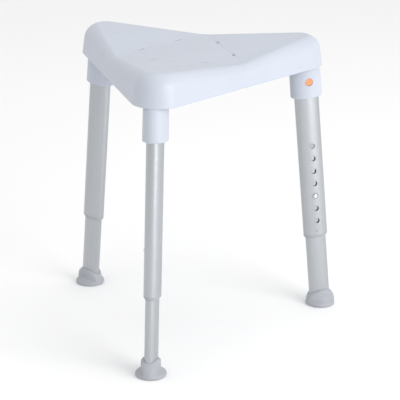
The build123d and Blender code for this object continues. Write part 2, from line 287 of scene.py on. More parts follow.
class StoolStage(bpy.types.PropertyGroup):
    """The floor, light and camera round the stool."""

    floor_size: length("Floor Size", "Width of the floor", 24.0)
    floor_tint: colour("Floor Colour", "Colour of the floor", (0.90, 0.90, 0.90))
    key_power: FloatProperty(
        name="Key Light", description="Power of the light from the right", default=57.0
    )
    key_place: FloatVectorProperty(
        name="Key Light Place",
        description="Where the key light is",
        default=(2.6, -1.3, 1.3),
        unit="LENGTH",
    )
    key_size: length("Key Light Size", "Width of the key light", 2.4)
    top_power: FloatProperty(name="Top Light", description="Power of the light overhead", default=10.5)
    top_place: FloatVectorProperty(
        name="Top Light Place", description="Where the top light is", default=(0.2, 0.4, 3.0), unit="LENGTH"
    )
    top_size: length("Top Light Size", "Width of the top light", 2.6)
    sky: FloatProperty(
        name="Surround", description="Strength of the light from all round", default=0.92
    )
    camera_place: FloatVectorProperty(
        name="Camera",
        description="Where the camera stands",
        default=(0.7448, -2.9772, 1.3086),
        unit="LENGTH",
    )
    camera_turn: FloatVectorProperty(
        name="Camera Turn",
        description="Tilt, roll and heading of the camera",
        default=(radians(71.117), radians(0.215), radians(13.317)),
        unit="ROTATION",
    )
    camera_lens: FloatProperty(name="Lens", description="Focal length in millimetres", default=160.14)


# Mesh helpers


def mesh_from(name, verts, faces):
    """A closed mesh from plain lists, wound outward and shaded smooth."""
    bm = bmesh.new()
    made = [bm.verts.new(v) for v in verts]
    for face in faces:
        bm.faces.new([made[i] for i in face])
    bmesh.ops.recalc_face_normals(bm, faces=bm.faces)
    mesh = bpy.data.meshes.new(name)
    bm.to_mesh(mesh)
    bm.free()
    mesh.shade_smooth()
    return mesh


def ring_mesh(name, rings, closed=False):
    """Rings of as many points each, joined in order. Open ends are filled by fans of triangles."""
    count = len(rings[0])
    verts = [p for ring in rings for p in ring]
    faces = []
    pairs = list(zip(range(len(rings)), range(1, len(rings))))
    if closed:
        pairs.append((len(rings) - 1, 0))
    for a, b in pairs:
        for i in range(count):
            j = (i + 1) % count
            faces.append((a * count + i, a * count + j, b * count + j, b * count + i))
    if not closed:
        for r in (0, len(rings) - 1):
            verts.append(sum((Vector(p) for p in rings[r]), Vector()) / count)
            hub = len(verts) - 1
            faces += [(hub, r * count + i, r * count + (i + 1) % count) for i in range(count)]
    return mesh_from(name, verts, faces)


def oval_ring(half, along, count=96):
    """Points round an oval across a leg."""
    turns = (2 * pi * i / count for i in range(count))
    return [Vector((half[0] * cos(t), half[1] * sin(t), along)) for t in turns]


def grown(half, by):
    """An oval's half widths made larger or smaller all round."""
    return half[0] + by, half[1] + by


def lathe(name, profile, along, count=48):
    """A piece turned about a line out of a leg's button side, from (radius, depth) pairs."""
    rings = []
    for radius, depth in profile:
        turns = (2 * pi * i / count for i in range(count))
        rings.append([Vector((radius * cos(t), -depth, along + radius * sin(t))) for t in turns])
    return ring_mesh(name, rings)


def quarter(steps):
    """(1 - cos, 1 - sin) pairs that go round a quarter circle from (0, 1) to (1, 0)."""
    return [(1 - cos(pi / 2 * i / steps), 1 - sin(pi / 2 * i / steps)) for i in range(steps + 1)]


def combine(base, other, operation):
    """The union, difference or intersection of two closed meshes, as a new mesh."""
    first = bpy.data.objects.new("first", base)
    second = bpy.data.objects.new("second", other)
    for obj in (first, second):
        bpy.context.scene.collection.objects.link(obj)
    boolean = first.modifiers.new("combine", "BOOLEAN")
    boolean.operation = operation
    boolean.object = second
    boolean.solver = "MANIFOLD"
    graph = bpy.context.evaluated_depsgraph_get()
    made = bpy.data.meshes.new_from_object(first.evaluated_get(graph))
    for obj in (first, second):
        bpy.data.objects.remove(obj)
    if not made.polygons:
        raise RuntimeError(f"{operation.lower()} left nothing of {base.name}")
    made.name = base.name
    return made


def crisp(mesh, degrees_apart):
    """Mark as sharp the edges that bend by more than an angle."""
    mesh.shade_smooth()
    mesh.set_sharp_from_angle(angle=radians(degrees_apart))
    return mesh


def add_piece(name, mesh, body, finish, place=Matrix(), replaced=()):
    """Put a mesh in the scene as a piece that rides on a body."""
    piece = bpy.data.objects.new(name, mesh)
    bpy.context.scene.collection.objects.link(piece)
    piece.matrix_world = place
    mesh.materials.clear()
    mesh.materials.append(finish)
    weighted = piece.modifiers.new("even_normals", "WEIGHTED_NORMAL")
    weighted.mode = "FACE_AREA"
    weighted.keep_sharp = True
    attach(piece, body)
    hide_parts(*replaced)
    return piece


# Seat


def seat_outline(sizes):
    """(corner centre or point between two, outward normal, cornerness) round the seat."""
    reach = 2 * (sizes.rim_apothem - sizes.rim_corner)
    arc_steps, side_steps = 24, 44
    ways = [outward(side) for side in SIDES]
    centres = [STOOL_AXIS + way * reach for way in ways]
    outline = []
    for k, way in enumerate(ways):
        heading = atan2(way.y, way.x)
        for i in range(arc_steps + 1):
            turn = heading + radians(120) * (i / arc_steps - 0.5)
            outline.append((centres[k], Vector((cos(turn), sin(turn))), 1.0))
        after = centres[(k + 1) % 3]
        normal = outline[-1][1]
        for i in range(1, side_steps):
            even = 2 * i / side_steps - 1
            middle_share = even * abs(even) ** 0.4
            outline.append((centres[k].lerp(after, (middle_share + 1) / 2), normal, abs(middle_share)))
    return outline


def flap_distance(spot, side):
    """How far a place on the seat is from the middle towards a leg."""
    return (spot - STOOL_AXIS).dot(outward(side))


def seat_top(sizes, spot):
    """Height of the seat's top: level in the middle, rising past each crease."""
    height = sizes.middle_height
    for side in SIDES:
        past = flap_distance(spot, side) - sizes.crease
        height += tan(sizes.flap_rise) * (past + hypot(past, sizes.crease_soft)) / 2
    return height


def seat_sections(sizes, inset, brow):
    """For each place round the seat, the side and rounded edge as points from the rim to the top."""
    side_steps, round_steps, brow_steps = 6, 14, 5
    slope_step = 0.0005
    lean = tan(sizes.draft)
    start_angle = pi / 2 - sizes.draft

    def arc(start, radius, first, last, steps):
        """Points that go on from a start point while the slope turns from one angle to another."""
        angles = (first + (last - first) * i / steps for i in range(1, steps + 1))
        inward, up = start
        return [
            (inward + radius * (sin(first) - sin(now)), up + radius * (cos(now) - cos(first)))
            for now in angles
        ]

    sections = []
    for centre, normal, cornerness in seat_outline(sizes):
        radius = sizes.round_side + (sizes.round_corner - sizes.round_side) * cornerness - inset
        radius = max(radius, sizes.least_round)

        def spot(inward):
            return centre + normal * (sizes.rim_corner - inward)

        end = inset + radius
        for _ in range(8):
            slope = (seat_top(sizes, spot(end + slope_step)) - seat_top(sizes, spot(end))) / slope_step
            end_angle = atan2(slope, 1)
            brow_start = end_angle + brow
            run = radius * (sin(start_angle) - sin(brow_start))
            run += sizes.brow_round * (sin(brow_start) - sin(end_angle))
            climb = radius * (cos(brow_start) - cos(start_angle))
            climb += sizes.brow_round * (cos(end_angle) - cos(brow_start))
            rise = seat_top(sizes, spot(end)) - inset - sizes.rim_height - climb
            end = inset + rise * lean + run
        heights = [rise * i / side_steps for i in range(side_steps + 1)]
        points = [(inset + up * lean, up) for up in heights]
        points += arc(points[-1], radius, start_angle, brow_start, round_steps)
        if brow:
            points += arc(points[-1], sizes.brow_round, brow_start, end_angle, brow_steps)
        sections.append([(*spot(inward), sizes.rim_height + up) for inward, up in points])
    return sections


def side_faces(count, rows):
    """Faces between neighbouring sections round the seat."""
    faces = []
    for i in range(count):
        j = (i + 1) % count
        faces += [(i * rows + r, j * rows + r, j * rows + r + 1, i * rows + r + 1) for r in range(rows - 1)]
    return faces


def seat_cap(sizes, edge, drop, fine):
    """Points and triangles that fill the top inside an edge, with rows of points along the creases."""
    row_pitch, row_count, row_margin = 0.005, 30, 0.0015
    pitch = 0.009 if fine else 0.02
    fade_width = 0.006
    border = [Vector(p[:2]) for p in edge]
    reach = max((p - STOOL_AXIS).length for p in border)
    side_end = max(-flap_distance(p, side) for p in border for side in SIDES)
    inner = []

    def inside(spot, margin):
        turned = [p - spot for p in border]
        winding = sum(atan2(a.cross(b), a.dot(b)) for a, b in zip(turned, turned[1:] + turned[:1]))
        return abs(winding) > pi and min(p.length for p in turned) > margin

    rows = (-2.5, -1.5, -1, -0.5, 0, 0.5, 1, 1.5, 2.5) if fine else (-2, 0, 2)
    for side in SIDES:
        way = outward(side)
        along = Vector((-way.y, way.x))
        for row in rows:
            out = sizes.crease + row * 2 * sizes.groove_width
            for i in range(-row_count, row_count + 1):
                spot = STOOL_AXIS + way * out + along * row_pitch * i
                if inside(spot, row_margin):
                    inner.append(spot)
    count = ceil(reach / pitch)
    clear = sizes.groove_width * 5 + pitch / 3
    for i in range(-count, count + 1):
        for j in range(-count, count + 1):
            spot = STOOL_AXIS + Vector((i * pitch, j * pitch))
            if min(abs(flap_distance(spot, side) - sizes.crease) for side in SIDES) < clear:
                continue
            if inside(spot, pitch / 2):
                inner.append(spot)
    rim = [(i, (i + 1) % len(border)) for i in range(len(border))]
    spots, _, faces, *_ = delaunay_2d_cdt(border + inner, rim, [], 1, 1e-7)
    verts = []
    for i, spot in enumerate(spots):
        height = seat_top(sizes, spot) - drop
        if fine:
            for side in SIDES:
                past = flap_distance(spot, side) - sizes.crease
                from_side = side_end - max(-flap_distance(spot, s) for s in SIDES)
                fade = min(max(from_side / fade_width, 0), 1)
                height -= sizes.groove_depth * fade * exp(-((past / sizes.groove_width) ** 2))
        verts.append((*spot, edge[i][2] if i < len(edge) else height))
    return verts, faces


def seat_shell_mesh(sizes):
    """The seat's outside and inside joined by a rounded lip: one closed shell."""
    outer = seat_sections(sizes, 0, sizes.brow_angle)
    inner = seat_sections(sizes, sizes.wall, 0)
    lip, up = sizes.lip_round, Vector((0, 0, 1))
    sections = []
    for (_, normal, _), out_points, in_points in zip(seat_outline(sizes), outer, inner):
        foot_out, foot_in = Vector(out_points[0]), Vector(in_points[0])
        inward = Vector((*-normal, 0))
        section = in_points[:0:-1]
        section += [foot_in - inward * lip * a + up * lip * b for a, b in quarter(3)]
        section += [foot_out + inward * lip * a + up * lip * b for a, b in reversed(quarter(3))]
        section += out_points[1:]
        sections.append([Vector(p) for p in section])
    count, rows = len(sections), len(sections[0])
    verts = [p for section in sections for p in section]
    faces = side_faces(count, rows)
    for row, drop, fine in ((rows - 1, 0, True), (0, sizes.wall, False)):
        edge = [section[row] for section in sections]
        cap_verts, cap_faces = seat_cap(sizes, edge, drop, fine)
        numbers = [i * rows + row for i in range(count)]
        numbers += range(len(verts), len(verts) + len(cap_verts) - count)
        verts += cap_verts[count:]
        faces += [[numbers[i] for i in face] for face in cap_faces]
    return mesh_from("seat", verts, faces)


def seat_clip_mesh(sizes):
    """A form just inside the seat's surface that widens below the rim, to trim ribs and sockets."""
    inset, beyond = sizes.wall / 2, 0.1
    sections = seat_sections(sizes, inset, 0)
    count, rows = len(sections), len(sections[0]) + 2
    verts = []
    for (_, normal, _), section in zip(seat_outline(sizes), sections):
        wide = Vector(section[0]) + Vector((*normal, 0)) * beyond
        verts += [(wide.x, wide.y, sizes.rim_height - beyond), (wide.x, wide.y, section[0][2]), *section]
    faces = side_faces(count, rows)
    cap_verts, cap_faces = seat_cap(sizes, [section[-1] for section in sections], inset, False)
    numbers = [i * rows + rows - 1 for i in range(count)]
    numbers += range(len(verts), len(verts) + len(cap_verts) - count)
    verts += cap_verts[count:]
    faces += [[numbers[i] for i in face] for face in cap_faces]
    faces.append([i * rows for i in range(count)])
    return mesh_from("seat_clip", verts, faces)


def block_mesh(name, place, size):
    """A plain block, used only to make ribs that are then trimmed."""
    bm = bmesh.new()
    bmesh.ops.create_cube(bm, size=1, matrix=place @ Matrix.Diagonal((*size, 1)))
    mesh = bpy.data.meshes.new(name)
    bm.to_mesh(mesh)
    bm.free()
    return mesh


def slot_cutter(sizes, side, across):
    """A rounded slot that widens at the seat's top, so that it leaves a rounded edge."""
    way = outward(side)
    along = Vector((-way.y, way.x))
    middle = STOOL_AXIS + way * sizes.slot_out + along * across
    half, straight = sizes.slot_wide / 2, (sizes.slot_long - sizes.slot_wide) / 2
    rings = []
    levels = [(0, -0.012), (0, -sizes.slot_round)]
    for i in range(1, 6):
        turn = radians(75) * i / 5
        levels.append((sizes.slot_round * (1 - cos(turn)), sizes.slot_round * (sin(turn) - 1)))
    levels.append((levels[-1][0] + 0.0004, 0.001))
    for wider, up in levels:
        ring = []
        for i in range(32):
            turn = 2 * pi * (i + 0.5) / 32
            x = (half + wider) * cos(turn)
            y = (half + wider) * sin(turn)
            y += straight if y > 0 else -straight
            spot = middle + way * x + along * y
            ring.append(Vector((*spot, seat_top(sizes, spot) + up)))
        rings.append(ring)
    return ring_mesh("slot", rings)


def socket_mesh(sizes, place):
    """A solid oval socket with a rounded lower lip, running up into the seat."""
    half, flare, low = sizes.section, sizes.flare, sizes.low
    rings = []
    for a, b in reversed(quarter(5)):
        rings.append(oval_ring(grown(half, flare - sizes.lip_round * a), low + sizes.lip_round * b))
    rings.append(oval_ring(grown(half, flare * 0.5), low + 0.03))
    rings.append(oval_ring(half, low + 0.06))
    rings.append(oval_ring(half, sizes.top + 0.03))
    mesh = ring_mesh("socket", rings)
    mesh.transform(place)
    return mesh


def socket_bore(sizes, place):
    """What is cut out of a socket for the leg, with a chamfered mouth and a step for the plug."""
    rings = [
        oval_ring(grown(sizes.bore, 0.0012), sizes.low - 0.002),
        oval_ring(grown(sizes.bore, 0.001), sizes.low),
        oval_ring(grown(sizes.bore, 0.0003), sizes.low + 0.0006),
        oval_ring(sizes.bore, sizes.low + 0.0012),
        oval_ring(sizes.bore, sizes.stop),
        oval_ring(sizes.chamber, sizes.stop),
        oval_ring(sizes.chamber, sizes.top),
    ]
    mesh = ring_mesh("bore", rings)
    mesh.transform(place)
    return mesh


def round_hole_cutter(radius, along, reach, surface, edge):
    """A round cutter out of the buttons' side that leaves a rounded edge near a depth."""
    profile = [(radius, 0), (radius, surface - edge)]
    for i in range(1, 5):
        turn = radians(70) * i / 4
        profile.append((radius + edge * (1 - cos(turn)), surface - edge + edge * sin(turn)))
    profile.append((profile[-1][0] + 0.0003, reach))
    return lathe("hole", profile, along, 64)


def seat_mesh(seat, sockets, buttons):
    """The whole moulding."""
    clip = seat_clip_mesh(seat)
    body = seat_shell_mesh(seat)
    for side in SIDES:
        way = outward(side)
        turn = Matrix.Rotation(atan2(way.y, way.x), 4, "Z")
        for out in (-seat.rib_offset, seat.rib_offset):
            middle = STOOL_AXIS + way * out
            place = Matrix.Translation((*middle, seat.rib_low + seat.rib_tall / 2)) @ turn
            rib = block_mesh("rib", place, (seat.rib_thick, seat.rib_long, seat.rib_tall))
            body = combine(body, combine(rib, clip, "INTERSECT"), "UNION")
    for side in SIDES:
        socket = combine(socket_mesh(sockets, leg_place(side)), clip, "INTERSECT")
        body = combine(body, socket, "UNION")
    for side in SIDES:
        place = leg_place(side)
        body = combine(body, socket_bore(sockets, place), "DIFFERENCE")
        radius = buttons.release_radius + buttons.clearance
        hole = round_hole_cutter(radius, buttons.release_at, 0.04, sockets.section[1] + 0.0002, 0.0007)
        hole.transform(place)
        body = combine(body, hole, "DIFFERENCE")
        for across in (-seat.slot_apart / 2, seat.slot_apart / 2):
            body = combine(body, slot_cutter(seat, side, across), "DIFFERENCE")
    return crisp(body, 32)


# Legs


class TubeGrid:
    """Lays out the points of an oval tube, with square patches round its holes."""

    patch = 0.009  # half the width of a patch
    patch_steps = 8
    rest_steps = 56  # points round the tube outside the patches
    row_step = 0.025
    end_clear = 0.001  # least distance from a patch to the tube's end
    hole_band = 0.0008  # width of the ring of faces beside a hole's rounded edge

    def __init__(self, section, wall, low, high, holes, edge):
        self.section, self.wall, self.edge = section, wall, edge
        self.low, self.high = low, high
        self.verts, self.faces = [], []
        self.holes = self.hole_cells(sorted(holes))
        self.rows = self.row_places()

    def hole_cells(self, holes):
        """(middle, radius, lowest, highest) of the square patch round each hole."""
        cells = []
        for i, (middle, radius) in enumerate(holes):
            low = middle - self.patch
            high = middle + self.patch
            if i:
                low = max(low, (holes[i - 1][0] + middle) / 2)
            if i + 1 < len(holes):
                high = min(high, (holes[i + 1][0] + middle) / 2)
            low = max(low, self.low + self.end_clear)
            high = min(high, self.high - self.end_clear)
            cells.append((middle, radius, low, high))
        return cells

    def row_places(self):
        """Places of the rows of points along the tube, and the first row of each hole's patch."""
        rows = [self.low + self.edge]
        self.first_rows = []
        for _, _, low, high in self.holes:
            self.stretch(rows, low)
            self.first_rows.append(len(rows) - 1)
            rows += [low + (high - low) * (i + 1) / self.patch_steps for i in range(self.patch_steps)]
        self.stretch(rows, self.high - self.edge)
        return rows

    def stretch(self, rows, end):
        """Add evenly spaced rows up to a place."""
        start = rows[-1]
        if end - start < 1e-6:
            return
        steps = ceil((end - start) / self.row_step)
        rows += [start + (end - start) * (i + 1) / steps for i in range(steps)]

    def on_patch(self, x, along, depth):
        """A point of the tube's button side, some depth under its surface."""
        a, b = grown(self.section, -depth)
        return Vector((x, -b * sqrt(1 - (x / a) ** 2), along))

    def ring(self, depth, along):
        """One row of points round the tube, some depth under its surface."""
        a, b = grown(self.section, -depth)
        points = []
        for i in range(self.patch_steps + 1):
            x = self.patch * (2 * i / self.patch_steps - 1)
            points.append(self.on_patch(x, along, depth))
        first = -acos(self.patch / a)
        last = pi - first
        for i in range(1, self.rest_steps):
            turn = first + (last - first) * i / self.rest_steps
            points.append(Vector((a * cos(turn), b * sin(turn), along)))
        return points

    def patch_border(self, row):
        """(row, column) pairs round a patch, from its lower left corner."""
        n = self.patch_steps
        border = [(row, i) for i in range(n)]
        border += [(row + i, n) for i in range(n)]
        border += [(row + n, n - i) for i in range(n)]
        border += [(row + n - i, 0) for i in range(n)]
        return border

    def add_ring(self, points):
        """Add points, and give their numbers."""
        first = len(self.verts)
        self.verts += points
        return [first + i for i in range(len(points))]

    def join(self, a, b, skip=0):
        """Quads between two rows of point numbers, leaving out the first few columns."""
        count = len(a)
        for i in range(skip, count):
            j = (i + 1) % count
            self.faces.append((a[i], a[j], b[j], b[i]))

    def mesh(self, name):
        """The closed tube."""
        in_patch = {r + i for r in self.first_rows for i in range(self.patch_steps)}
        edge, wall = self.edge, self.wall
        outside = [self.add_ring(self.ring(0, s)) for s in self.rows]
        inside = [self.add_ring(self.ring(wall, s)) for s in self.rows]
        for rows in (outside, inside):
            for r in range(len(rows) - 1):
                self.join(rows[r], rows[r + 1], self.patch_steps if r in in_patch else 0)
        soft = 0.3 * edge
        for end, sign, row in ((self.low, 1, 0), (self.high, -1, -1)):
            steps = [(soft, soft), (edge, 0), (wall - edge, 0), (wall - soft, soft)]
            path = [self.add_ring(self.ring(depth, end + sign * up)) for depth, up in steps]
            path = [outside[row], *path, inside[row]]
            for a, b in zip(path, path[1:]):
                self.join(a, b)
        for (middle, radius, *_), row in zip(self.holes, self.first_rows):
            self.hole(middle, radius, row, outside, inside)
        mesh = mesh_from(name, self.verts, self.faces)
        loose = self.loose_points(mesh)
        if loose:
            bm = bmesh.new()
            bm.from_mesh(mesh)
            bm.verts.ensure_lookup_table()
            bmesh.ops.delete(bm, geom=[bm.verts[i] for i in loose], context="VERTS")
            bm.to_mesh(mesh)
            bm.free()
            mesh.shade_smooth()
        return mesh

    @staticmethod
    def loose_points(mesh):
        """Numbers of the points that no face uses, which the patches leave behind."""
        used = {v for face in mesh.polygons for v in face.vertices}
        return [i for i in range(len(mesh.vertices)) if i not in used]

    def hole(self, middle, radius, row, outside, inside):
        """A round hole through a patch, with rounded edges."""
        border = self.patch_border(row)
        count = len(border)
        turns = [radians(-135) + 2 * pi * i / count for i in range(count)]
        edge = min(self.edge, self.wall / 3)

        def circle(wide, depth):
            points = []
            for turn in turns:
                x, s = wide * cos(turn), middle + wide * sin(turn)
                outer, inner = self.on_patch(x, s, 0), self.on_patch(x, s, self.wall)
                points.append(outer.lerp(inner, depth / self.wall))
            return self.add_ring(points)

        band = radius + edge + self.hole_band
        path = [[outside[r][c] for r, c in border], circle(band, 0)]
        path += [circle(radius + edge * b, edge * a) for a, b in quarter(4)]
        path += [circle(radius + edge * b, self.wall - edge * a) for a, b in reversed(quarter(4))]
        path += [circle(band, self.wall), [inside[r][c] for r, c in border]]
        for a, b in zip(path, path[1:]):
            self.join(a, b)


def outer_tube_mesh(legs, buttons):
    """The outer tube with its height holes, pip hole and release hole."""
    holes = [(legs.first_hole + legs.hole_pitch * i, legs.hole_radius) for i in range(legs.hole_count)]
    holes.append((legs.pip_at, legs.pip_radius))
    holes.append((buttons.release_at, buttons.release_radius + buttons.clearance))
    grid = TubeGrid(legs.tube, legs.tube_wall, legs.tube_low, legs.tube_top, holes, legs.cut_round)
    return grid.mesh("leg_tube")


def inner_leg_mesh(legs, buttons):
    """The inner leg with the hole for its snap button."""
    holes = [(buttons.snap_at, buttons.snap_radius + buttons.clearance)]
    grid = TubeGrid(legs.inner, legs.inner_wall, legs.inner_low, legs.inner_top, holes, legs.cut_round)
    return grid.mesh("inner_leg")


def end_bush_mesh(legs):
    """The bush: a flange under the tube, a ring below it and a sleeve with a pip inside the tube."""
    tube, ring = legs.tube, legs.ring
    sleeve = grown(tube, -legs.tube_wall - legs.snug)
    bore = grown(legs.inner, legs.slip)
    low, flange, seat = legs.ring_low, legs.flange_low, legs.tube_low
    fine, edge, mouth, end = 0.0001, 0.0003, 0.0004, 0.0006
    bevel = [(0.0020, 0), (0.0016, 0.0001), (0.0012, 0.0004)]
    bevel += [(0.0003, 0.0014), (0.0001, 0.0018), (0, 0.0022)]
    profile = [(grown(bore, mouth), low)]
    profile += [(grown(ring, -edge), low), (grown(ring, -fine), low + fine), (ring, low + edge)]
    profile += [(ring, flange - fine), (grown(ring, fine), flange)]
    profile += [(grown(tube, -inward), flange + up) for inward, up in bevel]
    profile += [(tube, seat - edge), (grown(tube, -fine), seat - fine), (grown(tube, -edge), seat)]
    profile += [(sleeve, seat), (sleeve, legs.sleeve_top - end), (grown(sleeve, -end), legs.sleeve_top)]
    profile += [(bore, legs.sleeve_top), (bore, low + mouth)]
    bush = ring_mesh("end_bush", [oval_ring(half, along) for half, along in profile], closed=True)
    radius, proud, dome_steps = legs.pip_radius - legs.snug, tube[1] + legs.pip_proud - end, 6
    pip = [(radius, sleeve[1] - end)]
    for i in range(dome_steps):
        turn = pi / 2 * i / dome_steps
        pip.append((radius * cos(turn), proud + end * sin(turn)))
    return crisp(combine(bush, lathe("pip", pip, legs.pip_at, 32), "UNION"), 40)


# Feet


def foot_mesh(foot, lean):
    """A domed foot with two arched flanks, a skirt, a bore for the leg and rings under the sole."""
    reach = foot.flank_arc - foot.flank

    def smaller(a, b, soft):
        """The smaller of two widths, with the corner between them rounded."""
        near = max(soft - abs(a - b), 0) / soft
        return min(a, b) - near**2 * soft / 4

    def wide(turn, height):
        """Half width of the outside in a direction, at a height."""
        arch = reach * abs(sin(turn))
        flank = sqrt(arch**2 + foot.flank_arc**2 - reach**2) - arch
        share = (foot.skirt_top - height) / (foot.skirt_top - foot.skirt_low)
        skirt = foot.flank + (foot.radius + foot.ridge_round - foot.flank) * share
        side = -smaller(-flank, -skirt, foot.valley_round)
        dome = sqrt(max(foot.radius**2 - max(height - foot.dome_low, 0) ** 2, 1e-9))
        return smaller(dome, side, foot.ridge_round)

    def bore_wide(turn, height, wider=0.0):
        """Distance of the bore's wall from the foot's axis."""
        a, b = (foot.bore[0] + wider) / cos(lean), foot.bore[1] + wider
        shift = height * tan(lean)
        square = (cos(turn) / a) ** 2 + (sin(turn) / b) ** 2
        linear = cos(turn) * shift / a**2
        return (sqrt(linear**2 - square * ((shift / a) ** 2 - 1)) - linear) / square

    def mouth(turn):
        """Height at which the outside comes down to the lip of the bore."""
        low, high = foot.skirt_low, foot.dome_low + foot.radius
        for _ in range(30):
            middle = (low + high) / 2
            if wide(turn, middle) > bore_wide(turn, middle, foot.lip):
                low = middle
            else:
                high = middle
        return low

    def ring(points):
        return [Vector((w * cos(t), w * sin(t), h)) for t, w, h in points]

    count, levels, edge_steps = 168, 46, 7
    turns = [2 * pi * i / count for i in range(count)]
    tops = [mouth(t) for t in turns]
    sole = [(0.003, 0)]
    for radius in foot.grooves:
        half, deep, soft = foot.groove_width / 2, foot.groove_depth, 0.0003
        inner, outer = radius - half, radius + half
        sole += [(inner - soft, 0), (inner, soft), (inner + soft, deep)]
        sole += [(outer - soft, deep), (outer, soft), (outer + soft, 0)]
    flat = foot.radius - foot.sole_round
    for i in range(edge_steps):
        turn = pi / 2 * i / edge_steps
        sole.append((flat + foot.sole_round * sin(turn), foot.skirt_low * (1 - cos(turn))))
    rings = [ring([(t, w, h) for t in turns]) for w, h in sole]
    for i in range(levels + 1):
        share = i / levels
        heights = [foot.skirt_low + (top - foot.skirt_low) * share for top in tops]
        rings.append(ring([(t, wide(t, h), h) for t, h in zip(turns, heights)]))
    for wider, down in ((0.3, 0.0), (0.0, 0.6)):
        lip = [(t, h - down * foot.lip) for t, h in zip(turns, tops)]
        rings.append(ring([(t, bore_wide(t, h, wider * foot.lip), h) for t, h in lip]))
    for share in (0.66, 0.33, 0.0):
        heights = [foot.bore_low + (top - foot.bore_low) * share for top in tops]
        rings.append(ring([(t, bore_wide(t, h), h) for t, h in zip(turns, heights)]))
    return crisp(ring_mesh("foot", rings), 38)


# Buttons


def flange_profile(radius, flange, seat, thick, hub):
    """(radius, depth) pairs from a button's side, round its flange, to the middle of its back."""
    edge, root = 0.0002, 0.0003
    return [
        (radius, seat + root),
        (radius + root, seat),
        (flange - edge, seat),
        (flange, seat - edge),
        (flange, seat - thick + edge),
        (flange - edge, seat - thick),
        (hub, seat - thick),
    ]


def release_button_mesh(buttons):
    """A flat-faced button with a soft edge, on a flange that keeps it in."""
    radius, tip, soft = buttons.release_radius, buttons.release_tip, 0.0012
    profile = [(0.0035, tip - 0.0001), (radius - 0.0022, tip - 0.00006)]
    profile += [(radius - soft * b, tip - soft * a) for b, a in quarter(5)[::-1]]
    flange, thick = buttons.release_flange, buttons.release_thick
    profile += flange_profile(radius, flange, buttons.release_seat, thick, 0.003)
    return crisp(lathe("release_button", profile, buttons.release_at, 64), 50)


def snap_button_mesh(buttons):
    """A domed steel button on a flange."""
    radius, dome, dome_steps = buttons.snap_radius, 0.0032, 12
    profile = []
    for i in range(1, dome_steps + 1):
        turn = pi / 2 * i / dome_steps
        profile.append((radius * sin(turn), buttons.snap_tip - dome * (1 - cos(turn))))
    profile += flange_profile(radius, buttons.snap_flange, buttons.snap_seat, buttons.snap_thick, 0.002)
    return crisp(lathe("snap_button", profile, buttons.snap_at, 48), 50)


# Inside the legs


def top_plug_mesh(legs, buttons):
    """The plug in the top of the outer tube, with a pocket for the release button's spring."""
    edge = 0.0005
    inside, over = grown(legs.tube, -legs.tube_wall - legs.snug), tuple(legs.tube)
    steps = [(grown(inside, -edge), legs.plug_low), (inside, legs.plug_low + edge), (inside, legs.tube_top)]
    steps += [(over, legs.tube_top), (over, legs.plug_top - edge), (grown(over, -edge), legs.plug_top)]
    plug = ring_mesh("top_plug", [oval_ring(half, along) for half, along in steps])
    wide = buttons.release_flange + buttons.clearance
    narrow, past = 0.001, 0.020
    pocket = [(narrow, buttons.coil_seat), (wide, buttons.coil_seat), (wide, past), (narrow, past)]
    return crisp(combine(plug, lathe("pocket", pocket, buttons.release_at), "DIFFERENCE"), 35)


def guide_cap_mesh(legs):
    """The cap that guides the inner leg's upper end in the tube."""
    edge = 0.0006
    outside = grown(legs.tube, -legs.tube_wall - legs.slip)
    cavity, lip = grown(legs.inner, legs.snug), grown(legs.inner, -legs.guide_lip)
    steps = [(cavity, legs.guide_low), (outside, legs.guide_low), (outside, legs.guide_top - edge)]
    steps += [(grown(outside, -edge), legs.guide_top), (lip, legs.guide_top), (lip, legs.inner_top)]
    steps.append((cavity, legs.inner_top))
    return crisp(ring_mesh("guide_cap", [oval_ring(half, along) for half, along in steps], closed=True), 35)


def release_spring_mesh(buttons):
    """The coil that pushes the release button out."""
    wire = buttons.coil_wire / 2
    start = buttons.coil_seat + buttons.coil_rest
    travel = buttons.release_seat - buttons.release_thick - buttons.coil_rest - start
    steps_per_turn, sides = 28, 12
    rings = []
    for i in range(int(buttons.coil_turns * steps_per_turn) + 1):
        turn = 2 * pi * i / steps_per_turn
        outward = Vector((cos(turn), 0, -sin(turn)))
        centre = outward * buttons.coil_radius
        centre.y = -start - travel * turn / (2 * pi * buttons.coil_turns)
        centre.z += buttons.release_at
        ring = []
        for k in range(sides):
            around = 2 * pi * k / sides
            ring.append(centre + outward * wire * cos(around) + Vector((0, wire * sin(around), 0)))
        rings.append(ring)
    return ring_mesh("release_spring", rings)


def leaf_path(buttons):
    """Middle line of the leaf spring as (depth, rise) points, with round bends."""
    half = buttons.leaf_thick / 2
    corners = [
        (buttons.leaf_front - half, -buttons.leaf_pad),
        (buttons.leaf_front - half, buttons.leaf_pad),
        (buttons.leaf_knee, buttons.leaf_rise),
        (buttons.leaf_back + half, buttons.leaf_rise - buttons.leaf_bend),
        (buttons.leaf_back + half, -buttons.leaf_tail),
    ]
    path = [Vector(corners[0])]
    for before, corner, after in zip(corners, corners[1:], corners[2:]):
        corner = Vector(corner)
        into, away = (corner - Vector(before)).normalized(), (Vector(after) - corner).normalized()
        bend = into.angle(away)
        back = buttons.leaf_bend * tan(bend / 2)
        first, last = corner - into * back, corner + away * back
        for i in range(9):
            share = i / 8
            path.append(first.lerp(corner, share).lerp(corner.lerp(last, share), share))
    path.append(Vector(corners[-1]))
    return path


